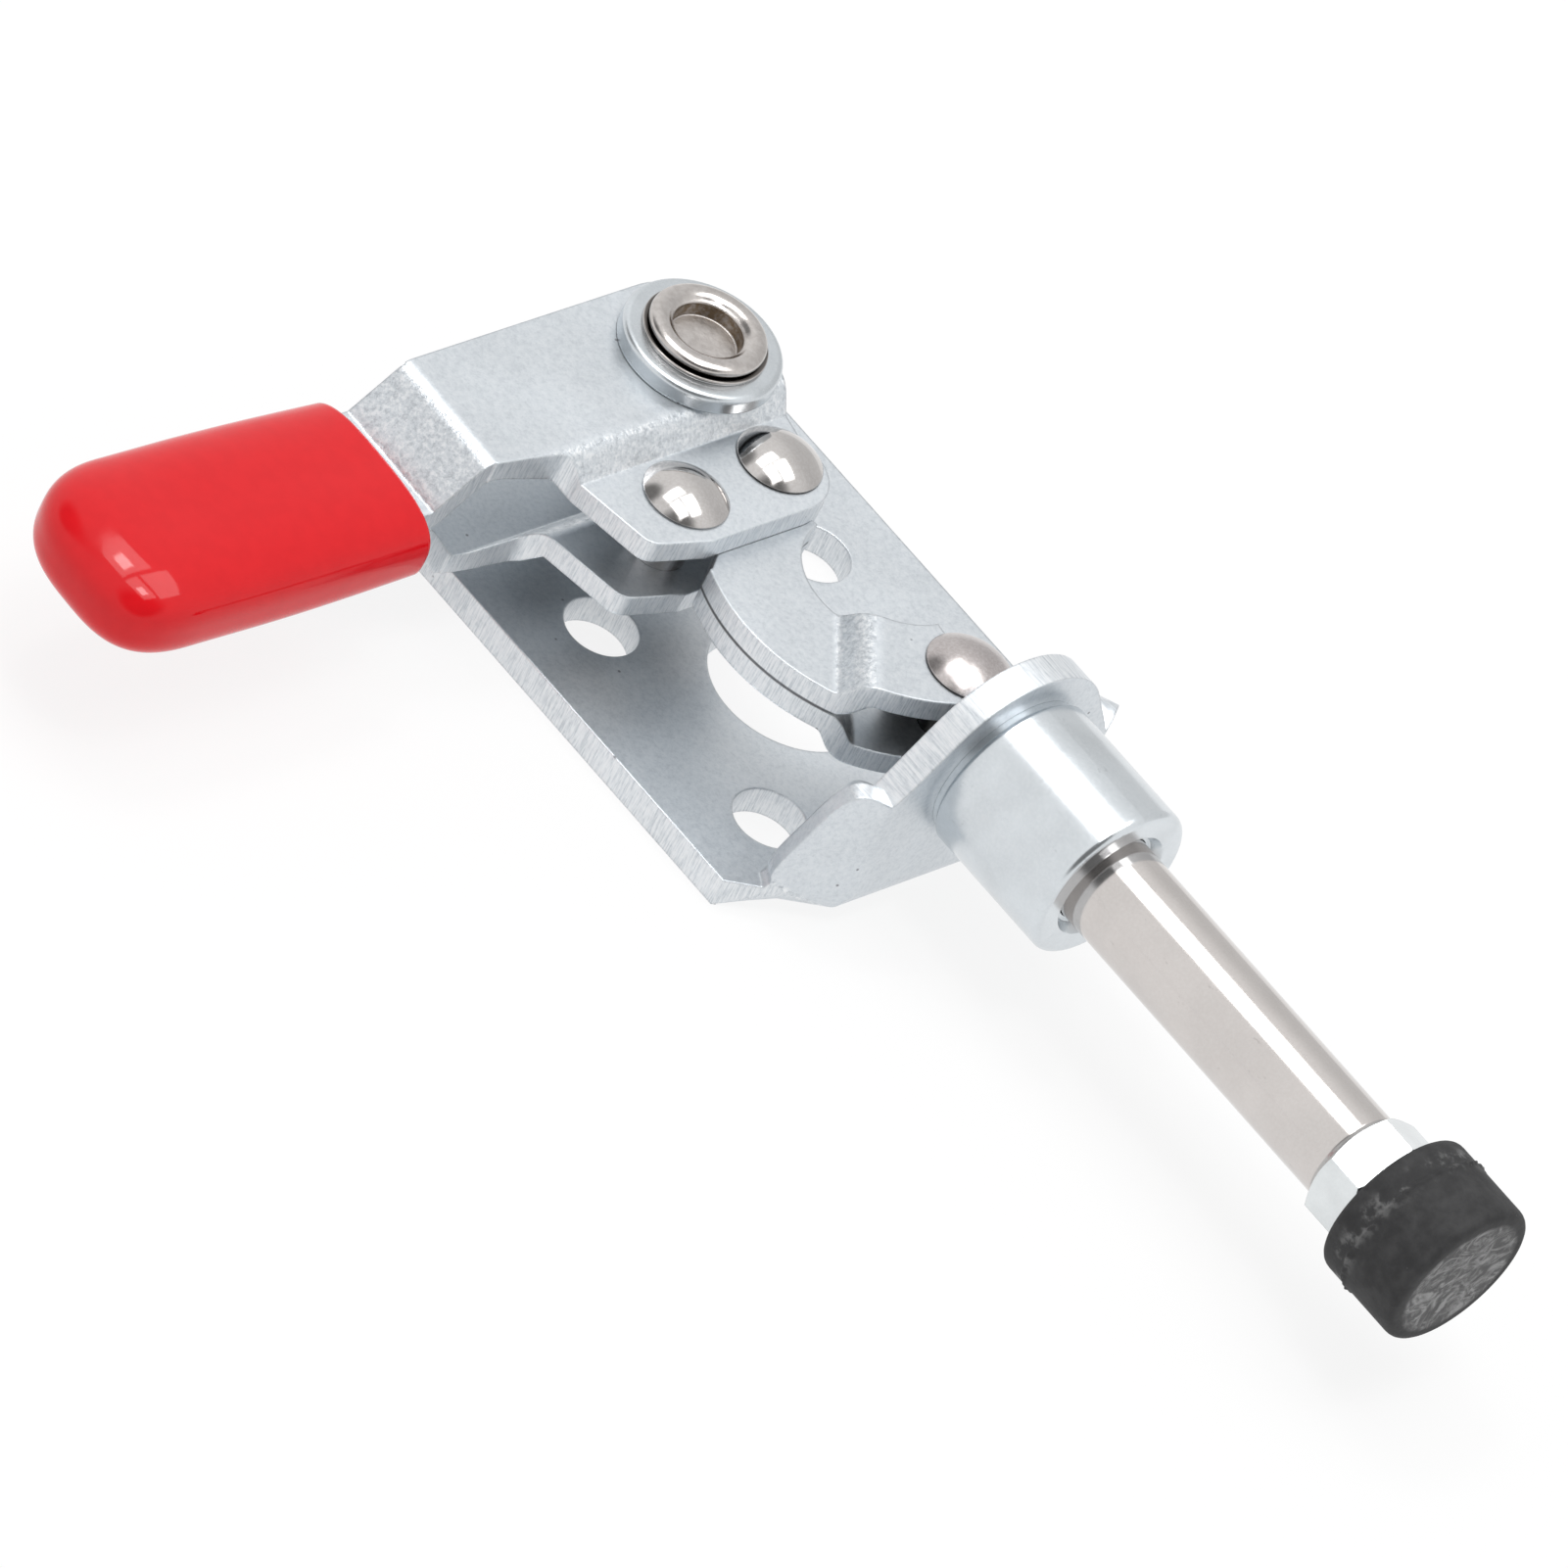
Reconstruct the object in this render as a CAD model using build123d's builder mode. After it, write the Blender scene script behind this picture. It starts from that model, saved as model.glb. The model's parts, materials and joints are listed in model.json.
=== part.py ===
"""Small straight-line toggle clamp: a handle drives a plunger through two C-shaped links.

Frame: millimetres, +Z up. The origin is the centre of the four mounting holes, on the
underside of the base plate. +X is the way the plunger pushes, +Y is to its left.
The model stands in its clamped state: plunger out, links just past dead centre.
"""

import os
from math import asin, atan2, cos, degrees, hypot, radians, sin, tan

from build123d import *

# ---------------------------------------------------------------- driving dimensions
# Base plate: one stamping, with its nose folded up to carry the guide bushing.
plate_thickness = 2.0
plate_half_width = 15.4
plate_rear_x = -22.0
plate_rear_corner = 4.0
mount_hole_radius = 2.4
mount_spacing_x = 16.3
mount_spacing_y = 17.9
window_radius = 5.4
flange_front_x = 15.2
flange_radius = 7.15
flange_neck_angle = 34.5
flange_half_width = 9.0
wing_fold_angle = 33.0
wing_ear_top = 10.5
wing_ear_reach = 2.0
wing_waist_height = 6.2
wing_waist_reach = 4.22
wing_ankle_reach = 4.95
wing_ankle_height = 2.95
wing_foot_reach = 6.4
wing_rollover = 0.75
bend_outer_radius = 2.5
bend_fade = ((0.0, 2.5), (3.6, 2.4), (5.4, 1.4), (7.3, 0.15))
crease_radius = 3.0

# Plunger line and guide.
axis_height = 10.45
rod_radius = 3.175
guide_clearance = 0.05
bushing_radius = 5.6
bushing_length = 10.1
bushing_spigot_radius = 4.4
bushing_edge = 0.5
bushing_rear_groove = 0.3
bushing_mouth_radius = 3.9
bushing_mouth_depth = 0.7

# Pivots, in the clamped state.
handle_pivot = (-15.84, -1.09)
link_pivot = (-7.89, -0.21)
plunger_pivot = (10.0, 0.0)
stop_pivot = (-7.66, -8.21)
handle_travel = 178.0

# Sheet thicknesses and the steps pressed into them.
handle_sheet = 1.5
link_sheet = 1.5
tongue_thickness = 3.175
tab_step = 1.65
face_clearance = 0.05
pin_clearance = 0.08

# Handle outline.
lobe_radius = 5.85
tab_front_x = -4.07
tab_crown_radius = 3.3
tab_crown_offset = 0.6
tab_shoulder_y = -9.0
tab_corner = (-5.22, -13.15)
tab_corner_radius = 1.3
tab_step_x = -11.07
tab_step_run = 1.32
sheet_bend_radius = 0.9
notch = (-12.05, -14.6)
notch_radius = 1.5
neck_front_x = -12.9
arm_width = 8.6
arm_tilt = 1.9
arm_length = 24.5
slope_top_y = -20.1
slope_run = 3.0

# Grip: distance out from its mouth, shift forwards, width and depth of each section.
grip_start = 4.8
grip_fit = 0.02
grip_sections = (
    (0.0, 0.3, 12.2, 5.7),
    (0.5, 0.3, 12.6, 6.1),
    (9.0, 0.25, 12.8, 6.3),
    (16.5, 0.15, 12.9, 6.5),
    (18.5, 0.15, 12.6, 6.4),
    (20.0, 0.25, 11.9, 6.1),
    (21.3, 0.45, 10.7, 5.4),
    (22.3, 0.6, 9.1, 4.5),
    (23.0, 0.75, 7.1, 3.4),
    (23.4, 0.85, 4.8, 2.0),
)

# Links: a C-shaped band between two eyes, stepped apart in front of the band's bend.
link_inner_radius = 5.2
link_centre_along = 9.2
link_centre_across = 1.47
link_rear_eye_radius = 3.5
link_front_eye_radius = 2.67
link_rear_corner = (4.5, -8.8)
link_rear_aim = (-1.0, -0.7)
link_bend_radius = 1.4
link_step_centre = (7.18, -6.31)
link_step_angle = -41.5
link_step_run = 1.35

# Rivets.
rivet_head_radius = 2.75
rivet_head_foot = 2.6
rivet_rim_height = 0.12
rivet_head_height = 1.2
rivet_shank_radius = 1.4
stop_body_radius = 1.75
stop_groove_radius = 1.3
stop_groove_level = 0.9
stop_groove_width = 0.2
pivot_shank_radius = 2.7
pivot_head_overhang = 1.0
pivot_head_height = 1.05
pivot_collar_overhang = 1.28
pivot_collar_height = 0.35
pivot_bore_wall = 0.5
pivot_bore_depth = 1.4
pivot_foot_overhang = 1.5
pivot_foot_height = 1.2
washer_wall = 2.4
washer_thickness = 1.2
sleeve_wall = 0.6
sleeve_edge = 0.35
spacer_wall = 2.3

# Plunger rod and tip.
tongue_rear = 3.0
shoulder_gap = 2.0
hook_flank = ((1.21, 0.85), (2.2, -0.3), (2.9, -1.6), (3.5, -3.3))
hook_finger = ((-2.35, -1.6), (-1.33, 0.66))
rod_end_x = 48.2
rod_end_chamfer = 0.3
tapped_depth = 12.0
thread_radius = 2.0
thread_clearance = 0.05
nut_width = 7.0
nut_thickness = 3.2
screw_engagement = 10.0
screw_head_radius = 3.6
screw_head_thickness = 2.0
cap_gap = 0.05
cap_radius = 5.2
cap_length = 6.4
cap_cover = 1.6
cap_edge = 0.65
cap_flash_from_back = 2.0
cap_flash_height = 0.15
cap_flash_width = 0.4

# ---------------------------------------------------------------- levels and directions
base_top = plate_thickness
tab_gap_half = link_sheet + face_clearance
link_front_half = tongue_thickness / 2 + face_clearance
tab_level = axis_height + tab_gap_half
flat_level = tab_level + tab_step
washer_bottom = flat_level + handle_sheet + face_clearance
washer_top = washer_bottom + washer_thickness
lower_flat_bottom = 2 * axis_height - flat_level - handle_sheet

pivot_head_radius = pivot_shank_radius + pivot_head_overhang
pivot_collar_radius = pivot_shank_radius + pivot_collar_overhang
pivot_foot_radius = pivot_shank_radius + pivot_foot_overhang
pivot_bore_radius = pivot_shank_radius - pivot_bore_wall
washer_radius = pivot_shank_radius + washer_wall
sleeve_radius = pivot_shank_radius + sleeve_wall
spacer_radius = pivot_shank_radius + spacer_wall

crank_length = hypot(link_pivot[0] - handle_pivot[0], link_pivot[1] - handle_pivot[1])
link_length = hypot(plunger_pivot[0] - link_pivot[0], plunger_pivot[1] - link_pivot[1])
link_angle = degrees(
    atan2(plunger_pivot[1] - link_pivot[1], plunger_pivot[0] - link_pivot[0])
)
crank_angle = degrees(
    atan2(link_pivot[1] - handle_pivot[1], link_pivot[0] - handle_pivot[0])
)

rod_shoulder_x = plunger_pivot[0] + link_front_eye_radius + shoulder_gap
nut_front_x = rod_end_x + nut_thickness
cap_rear_x = nut_front_x + cap_gap
cap_front_x = cap_rear_x + cap_length


def print_motion():
    """Print where the plunger and the links are with the handle thrown right over."""
    open_angle = radians(crank_angle - handle_travel)
    rear_x = handle_pivot[0] + crank_length * cos(open_angle)
    rear_y = handle_pivot[1] + crank_length * sin(open_angle)
    open_link_angle = degrees(asin((plunger_pivot[1] - rear_y) / link_length))
    front_x = rear_x + link_length * cos(radians(open_link_angle))
    print(f"crank {crank_length:.4f}, link {link_length:.4f}, link angle {link_angle:.4f}")
    print(f"plunger travel {plunger_pivot[0] - front_x:.5f} over {handle_travel} degrees")
    print(f"links turn {handle_travel + open_link_angle - link_angle:.5f} in the handle")


def save(part, name):
    """Label a finished piece and write it to its own file."""
    part.label = name
    export_step(part, f"parts/{name}.step")
    print(f"{name}: {part.volume:.1f} mm3")


# ---------------------------------------------------------------- base
def wing_plane():
    """Outer face of the right-hand nose wing: x runs back along it, z points inwards."""
    fold = radians(wing_fold_angle)
    return Plane(
        origin=(flange_front_x, -flange_half_width, 0),
        x_dir=(-sin(fold), -cos(fold), 0),
        z_dir=(-cos(fold), sin(fold), 0),
    )


def make_wing(shoulder_z):
    """One nose wing: an ear, a waist, and a foot running out along the plate's edge."""
    with BuildPart() as wing:
        with BuildSketch(wing_plane()):
            with BuildLine():
                Line((0, 0), (0, shoulder_z))
                Spline(
                    (0, shoulder_z),
                    (wing_ear_reach, wing_ear_top),
                    (wing_waist_reach, wing_waist_height),
                    (wing_ankle_reach, wing_ankle_height),
                    (wing_foot_reach, plate_thickness / 2),
                    tangents=((1, 0.5), (1, -0.7)),
                )
                Polyline((wing_foot_reach, plate_thickness / 2), (wing_foot_reach, 0), (0, 0))
            make_face()
        extrude(amount=plate_thickness)
        inner = wing.edges().filter_by(GeomType.BSPLINE).sort_by(Axis.X)[0]
        chamfer(inner, wing_rollover, wing_rollover * 0.7)
    return wing.part


def bend_corner(plane, radius):
    """Section of what a fold's rounded outer face leaves out: x runs inwards, y is up."""
    inset = radius * (1 - cos(radians(45)))
    with BuildSketch(plane) as corner:
        with BuildLine():
            Polyline((radius, 0), (radius, -1), (-1, -1), (-1, radius), (0, radius))
            ThreePointArc((0, radius), (inset, inset), (radius, 0))
        make_face()
    return corner.sketch


def make_bend_cutter():
    """Outside of the folds: full radius under the nose, fading out along each wing."""
    nose = Plane(
        origin=(flange_front_x, -flange_half_width, 0), x_dir=(-1, 0, 0), z_dir=(0, 1, 0)
    )
    wing = wing_plane()
    sections = []
    for reach, radius in bend_fade:
        across = Plane(
            origin=wing.origin + wing.x_dir * reach,
            x_dir=wing.z_dir,
            z_dir=wing.x_dir * -1,
        )
        sections.append(bend_corner(across, radius))
    with BuildPart() as bend_cutter:
        extrude(bend_corner(nose, bend_outer_radius), amount=2 * flange_half_width)
        loft(sections, ruled=True)
        mirror(about=Plane.XZ)
    return bend_cutter.part


def make_base_plate():
    """Flat plate, folded nose flange with a round head, and two folded wings."""
    bend_cutter = make_bend_cutter()
    neck = radians(flange_neck_angle)
    tangent_y = flange_radius * cos(neck)
    tangent_z = axis_height + flange_radius * sin(neck)
    shoulder_z = tangent_z - (flange_half_width - tangent_y) / tan(neck)
    corner_x = flange_front_x - (plate_half_width - flange_half_width) * tan(
        radians(wing_fold_angle)
    )

    with BuildPart() as base_plate:
        with BuildSketch(Plane.XY) as flat:
            Polygon(
                (plate_rear_x, -plate_half_width),
                (corner_x, -plate_half_width),
                (flange_front_x, -flange_half_width),
                (flange_front_x, flange_half_width),
                (corner_x, plate_half_width),
                (plate_rear_x, plate_half_width),
                align=None,
            )
            fillet(flat.vertices().group_by(Axis.X)[0], plate_rear_corner)
        extrude(amount=plate_thickness)

        wing = make_wing(shoulder_z)
        add(wing)
        add(wing.mirror(Plane.XZ))

        with BuildSketch(Plane.YZ.offset(flange_front_x)):
            with BuildLine():
                Polyline(
                    (tangent_y, tangent_z),
                    (flange_half_width, shoulder_z),
                    (flange_half_width, 0),
                    (-flange_half_width, 0),
                    (-flange_half_width, shoulder_z),
                    (-tangent_y, tangent_z),
                )
                ThreePointArc(
                    (-tangent_y, tangent_z),
                    (0, axis_height + flange_radius),
                    (tangent_y, tangent_z),
                )
            make_face()
        extrude(amount=-plate_thickness)

        creases = (
            base_plate.edges()
            .filter_by(Axis.Z)
            .filter_by_position(Axis.X, flange_front_x - 0.01, flange_front_x + 0.01)
        )
        fillet(creases, crease_radius)

        add(bend_cutter, mode=Mode.SUBTRACT)

        with BuildSketch(Plane.XY):
            with GridLocations(mount_spacing_x, mount_spacing_y, 2, 2):
                Circle(mount_hole_radius)
            Circle(window_radius)
        extrude(amount=plate_thickness, mode=Mode.SUBTRACT)

        with BuildSketch(Plane.YZ.offset(flange_front_x)):
            with Locations((0, axis_height)):
                Circle(bushing_spigot_radius)
        extrude(amount=-plate_thickness, mode=Mode.SUBTRACT)

        with Locations(Location((*handle_pivot, 0), (180, 0, 0))):
            CounterBoreHole(
                pivot_shank_radius, pivot_foot_radius, pivot_foot_height, plate_thickness
            )
    save(base_plate.part, "base_plate")


def make_guide_bushing():
    """Turned bushing: a spigot staked in the flange, and a bore with an open mouth."""
    bore = rod_radius + guide_clearance
    rear_x = flange_front_x - plate_thickness
    front_x = flange_front_x + bushing_length
    with BuildPart() as guide_bushing:
        with BuildSketch(Plane.XZ):
            with BuildLine():
                Polyline(
                    (rear_x, axis_height + bore),
                    (rear_x, axis_height + bushing_spigot_radius),
                    (flange_front_x, axis_height + bushing_spigot_radius),
                    (flange_front_x, axis_height + bushing_radius - bushing_rear_groove),
                    (flange_front_x + 0.4, axis_height + bushing_radius - bushing_rear_groove),
                    (flange_front_x + 0.7, axis_height + bushing_radius),
                    (front_x, axis_height + bushing_radius),
                    (front_x, axis_height + bushing_mouth_radius),
                    (front_x - bushing_mouth_depth, axis_height + bore + bushing_edge / 2),
                    (front_x - bushing_mouth_depth, axis_height + bore),
                    close=True,
                )
            make_face()
        revolve(axis=Axis((0, 0, axis_height), (1, 0, 0)))
        rim = guide_bushing.edges().filter_by(GeomType.CIRCLE).sort_by(Axis.X)[-2:]
        fillet(rim.sort_by(SortBy.RADIUS)[-1], bushing_edge)
    save(guide_bushing.part, "guide_bushing")


# ---------------------------------------------------------------- main pivot
def make_pivot_rivet():
    """Semi-tubular rivet: foot sunk in the base, top end hollow and rolled over the washer."""
    x, y = handle_pivot
    collar_top = washer_top + pivot_collar_height
    head_top = washer_top + pivot_head_height
    with BuildPart() as pivot_rivet:
        with BuildSketch(Plane.XY.offset(0)):
            with Locations((x, y)):
                Circle(pivot_foot_radius)
        extrude(amount=pivot_foot_height)
        with BuildSketch(Plane.XY.offset(pivot_foot_height)):
            with Locations((x, y)):
                Circle(pivot_shank_radius)
        extrude(amount=head_top - pivot_foot_height)
        with BuildSketch(Plane.XY.offset(washer_top)):
            with Locations((x, y)):
                Circle(pivot_collar_radius)
        extrude(amount=pivot_collar_height)
        with BuildSketch(Plane.XY.offset(collar_top)):
            with Locations((x, y)):
                Circle(pivot_head_radius)
        extrude(amount=pivot_head_height - pivot_collar_height)
        fillet(pivot_rivet.edges().group_by(Axis.Z)[-1], 0.45)
        with BuildSketch(Plane.XY.offset(head_top)):
            with Locations((x, y)):
                Circle(pivot_bore_radius)
        extrude(amount=-pivot_bore_depth, mode=Mode.SUBTRACT)
        lip = pivot_rivet.edges().filter_by(GeomType.CIRCLE).group_by(Axis.Z)[-1]
        fillet(lip.sort_by(SortBy.RADIUS)[0], 0.35)
    save(pivot_rivet.part, "pivot_rivet")


def make_pivot_washer():
    """Thick plain washer with a rounded upper rim, under the rolled head."""
    with BuildPart() as pivot_washer:
        with BuildSketch(Plane.XY.offset(washer_bottom)):
            with Locations(handle_pivot):
                Circle(washer_radius)
                Circle(pivot_shank_radius, mode=Mode.SUBTRACT)
        extrude(amount=washer_thickness)
        rims = pivot_washer.edges().filter_by(GeomType.CIRCLE).group_by(Axis.Z)[-1]
        fillet(rims.sort_by(SortBy.RADIUS)[-1], 0.4)
    save(pivot_washer.part, "pivot_washer")


def make_pivot_sleeve():
    """Barrel on the rivet that keeps the two handle plates apart and stops the links."""
    height = 2 * (flat_level - axis_height - face_clearance)
    with BuildPart() as pivot_sleeve:
        with BuildSketch(Plane.XY.offset(axis_height - height / 2)):
            with Locations(handle_pivot):
                Circle(sleeve_radius)
                Circle(pivot_shank_radius, mode=Mode.SUBTRACT)
        extrude(amount=height)
        rims = pivot_sleeve.edges().filter_by(GeomType.CIRCLE).sort_by(SortBy.RADIUS)
        chamfer(rims[-2:], sleeve_edge)
    save(pivot_sleeve.part, "pivot_sleeve")


def make_pivot_spacer():
    """Collar that carries the handle clear of the base plate."""
    with BuildPart() as pivot_spacer:
        with BuildSketch(Plane.XY.offset(base_top)):
            with Locations(handle_pivot):
                Circle(spacer_radius)
                Circle(pivot_shank_radius, mode=Mode.SUBTRACT)
        extrude(amount=lower_flat_bottom - face_clearance - base_top)
        chamfer(pivot_spacer.edges().filter_by(GeomType.CIRCLE).sort_by(SortBy.RADIUS)[-2:], 0.3)
    save(pivot_spacer.part, "pivot_spacer")


# ---------------------------------------------------------------- handle
def arm_plane():
    """Plan of the arm on the plunger's level: y runs back towards the pivot."""
    tilt = radians(arm_tilt)
    out = Vector(-sin(tilt), -cos(tilt), 0)
    middle_x = (neck_front_x + handle_pivot[0] - lobe_radius) / 2
    return Plane(
        origin=(middle_x, slope_top_y, axis_height),
        x_dir=out.cross(Vector(0, 0, 1)) * -1,
        z_dir=(0, 0, 1),
    )


def arm_side_plane():
    """Side view of the arm: x runs out along it, y is up."""
    plan = arm_plane()
    return Plane(origin=plan.origin, x_dir=plan.y_dir * -1, z_dir=plan.x_dir * -1)


def make_handle_plate(name, side):
    """One pressed handle plate: side is 1 for the upper plate and -1 for the lower."""
    lobe_x, lobe_y = handle_pivot
    crown_x = tab_front_x - tab_crown_radius
    crown_y = link_pivot[1] - tab_crown_offset
    edge_angle = atan2(crown_y - lobe_y, crown_x - lobe_x) + asin(
        (lobe_radius - tab_crown_radius) / hypot(crown_x - lobe_x, crown_y - lobe_y)
    )
    edge_x = sin(-edge_angle)
    edge_y = cos(edge_angle)
    crown_end = (crown_x + tab_crown_radius * edge_x, crown_y + tab_crown_radius * edge_y)
    lobe_end = (lobe_x + lobe_radius * edge_x, lobe_y + lobe_radius * edge_y)
    slant = cos(radians(45))
    half = handle_sheet / 2
    flat = side * (flat_level - axis_height + half)
    tab = side * (tab_level - axis_height + half)

    with BuildPart() as handle_plate:
        with BuildSketch(Plane.XZ.offset(-slope_top_y - 1)):
            with BuildLine():
                FilletPolyline(
                    (lobe_x - lobe_radius - 2, axis_height + flat),
                    (tab_step_x - tab_step_run, axis_height + flat),
                    (tab_step_x, axis_height + tab),
                    (tab_front_x + 2, axis_height + tab),
                    radius=sheet_bend_radius,
                )
            trace(line_width=handle_sheet)
        extrude(amount=slope_top_y - 12)
        with BuildSketch(arm_side_plane()):
            with BuildLine():
                FilletPolyline(
                    (-3, flat),
                    (0, flat),
                    (slope_run, side * half),
                    (arm_length, side * half),
                    radius=sheet_bend_radius,
                )
            trace(line_width=handle_sheet)
        extrude(amount=arm_width, both=True)

        with BuildSketch(Plane.XY) as outline:
            with BuildLine():
                Polyline(
                    (lobe_x - lobe_radius, lobe_y),
                    (lobe_x - lobe_radius, slope_top_y),
                    (neck_front_x, slope_top_y),
                    notch,
                    tab_corner,
                    (tab_front_x, tab_shoulder_y),
                    (tab_front_x, crown_y),
                )
                ThreePointArc(
                    (tab_front_x, crown_y),
                    (crown_x + tab_crown_radius * slant, crown_y + tab_crown_radius * slant),
                    crown_end,
                )
                Line(crown_end, lobe_end)
                ThreePointArc(
                    lobe_end,
                    (lobe_x - lobe_radius * slant, lobe_y + lobe_radius * slant),
                    (lobe_x - lobe_radius, lobe_y),
                )
            make_face()
            fillet(outline.vertices().sort_by_distance(tab_corner)[0], tab_corner_radius)
            fillet(outline.vertices().sort_by_distance(notch)[0], notch_radius)
            with BuildSketch(arm_plane(), mode=Mode.PRIVATE) as arm:
                with Locations((0, -arm_length / 2 + 0.5)):
                    RectangleRounded(arm_width, arm_length + 1, 0.4)
            add(arm.sketch.moved(Location((0, 0, -axis_height))))
        extrude(amount=2 * axis_height, mode=Mode.INTERSECT)

        hole_height = axis_height + flat
        with Locations((*handle_pivot, hole_height)):
            Hole(pivot_shank_radius + pin_clearance)
        with Locations((*link_pivot, hole_height)):
            Hole(rivet_shank_radius)
        with Locations((*stop_pivot, hole_height)):
            Hole(rivet_shank_radius)
    save(handle_plate.part, name)


def make_handle_grip():
    """Moulded sleeve closed round both arms, widening outwards to a rounded end."""
    plan = arm_plane()
    mouth = Plane(
        origin=plan.origin - plan.y_dir * grip_start,
        x_dir=plan.x_dir,
        z_dir=plan.y_dir * -1,
    )
    sections = []
    for reach, shift, width, depth in grip_sections:
        with BuildSketch(mouth.offset(reach)) as section:
            with Locations((shift, 0)):
                RectangleRounded(width, depth, depth / 2 - 0.1)
        sections.append(section.sketch)
    with BuildPart() as handle_grip:
        loft(sections, ruled=True)
        with BuildSketch(mouth):
            Rectangle(arm_width + 2 * grip_fit, 2 * handle_sheet + 2 * grip_fit)
        extrude(amount=arm_length - grip_start + grip_fit, mode=Mode.SUBTRACT)
    save(handle_grip.part, "handle_grip")


# ---------------------------------------------------------------- links
def link_plane():
    """Plan of the links: origin on the rear eye, x towards the front eye."""
    return Plane(
        origin=(*link_pivot, 0),
        x_dir=(cos(radians(link_angle)), sin(radians(link_angle)), 0),
        z_dir=(0, 0, 1),
    )


def make_link(name, side):
    """One C-shaped link: side is 1 for the upper link and -1 for the lower."""
    centre = (link_centre_along, link_centre_across)
    front_reach = hypot(link_length - centre[0], centre[1])
    outer_radius = front_reach + link_front_eye_radius
    front_way = (
        centre[0] + 2 * outer_radius * (link_length - centre[0]) / front_reach,
        centre[1] - 2 * outer_radius * centre[1] / front_reach,
    )
    rear_level = axis_height + side * link_sheet / 2
    front_level = axis_height + side * (link_front_half + link_sheet / 2)
    step = Plane(
        origin=(*link_step_centre, 0),
        x_dir=(-sin(radians(link_step_angle)), cos(radians(link_step_angle)), 0),
        z_dir=(-cos(radians(link_step_angle)), -sin(radians(link_step_angle)), 0),
    )

    with BuildPart() as link:
        with BuildSketch(step):
            with BuildLine():
                FilletPolyline(
                    (-3 * outer_radius, side_height(step, rear_level)),
                    (-link_step_run / 2, side_height(step, rear_level)),
                    (link_step_run / 2, side_height(step, front_level)),
                    (2 * outer_radius, side_height(step, front_level)),
                    radius=link_bend_radius,
                )
            trace(line_width=link_sheet)
        extrude(amount=3 * outer_radius, both=True)

        with BuildSketch(link_plane()) as outline:
            with Locations(centre):
                Circle(outer_radius)
                Circle(link_inner_radius, mode=Mode.SUBTRACT)
            Polygon(
                centre,
                front_way,
                (front_way[0], -3 * outer_radius),
                (link_rear_corner[0], -3 * outer_radius),
                link_rear_corner,
                link_rear_aim,
                align=None,
                mode=Mode.INTERSECT,
            )
            Circle(link_rear_eye_radius)
            with Locations((link_length, 0)):
                Circle(link_front_eye_radius)
            with Locations((0, 0)):
                Circle(rivet_shank_radius + pin_clearance, mode=Mode.SUBTRACT)
            with Locations((link_length, 0)):
                Circle(rivet_shank_radius, mode=Mode.SUBTRACT)
        extrude(amount=2 * axis_height, mode=Mode.INTERSECT)
    save(link.part, name)


def side_height(plane, level):
    """Height of a level on an upright sketch plane, whichever way up its y runs."""
    return level * plane.y_dir.Z


# ---------------------------------------------------------------- rivets
def make_rivet(name, place, half_grip, shank):
    """Solid rivet with a domed head at each end; shank gives its radius and height upwards."""
    rim_top = half_grip + rivet_rim_height
    rise = rivet_head_height - rivet_rim_height
    dome = (rivet_head_radius**2 + rise**2) / (2 * rise)
    half_turn = asin(rivet_head_radius / dome) / 2
    arc_x = dome * sin(half_turn)
    arc_y = rim_top + rise - dome * (1 - cos(half_turn))
    side_view = Plane(origin=(*place, axis_height), x_dir=(1, 0, 0), z_dir=(0, -1, 0))
    with BuildPart() as rivet:
        with BuildSketch(side_view):
            with BuildLine():
                Line((0, rim_top + rise), (0, -rim_top - rise))
                ThreePointArc(
                    (0, -rim_top - rise), (arc_x, -arc_y), (rivet_head_radius, -rim_top)
                )
                Polyline(
                    (rivet_head_radius, -rim_top),
                    (rivet_head_foot, -half_grip),
                    *shank,
                    (rivet_head_foot, half_grip),
                    (rivet_head_radius, rim_top),
                )
                ThreePointArc((rivet_head_radius, rim_top), (arc_x, arc_y), (0, rim_top + rise))
            make_face()
        revolve(axis=Axis((*place, 0), (0, 0, 1)))
    save(rivet.part, name)


def make_plain_rivet(name, place, half_grip):
    """Rivet with a plain shank."""
    shank = ((rivet_shank_radius, -half_grip), (rivet_shank_radius, half_grip))
    make_rivet(name, place, half_grip, shank)


def make_stop_rivet():
    """Post between the handle plates: a thicker body with a groove below its top end."""
    half_grip = tab_gap_half + handle_sheet
    groove_top = stop_groove_level + stop_groove_width
    shank = (
        (rivet_shank_radius, -half_grip),
        (rivet_shank_radius, -tab_gap_half),
        (stop_body_radius, -tab_gap_half),
        (stop_body_radius, stop_groove_level),
        (stop_groove_radius, stop_groove_level),
        (stop_groove_radius, groove_top),
        (stop_body_radius - 0.15, groove_top),
        (stop_body_radius - 0.15, tab_gap_half),
        (rivet_shank_radius, tab_gap_half),
        (rivet_shank_radius, half_grip),
    )
    make_rivet("stop_rivet", stop_pivot, half_grip, shank)


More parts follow.
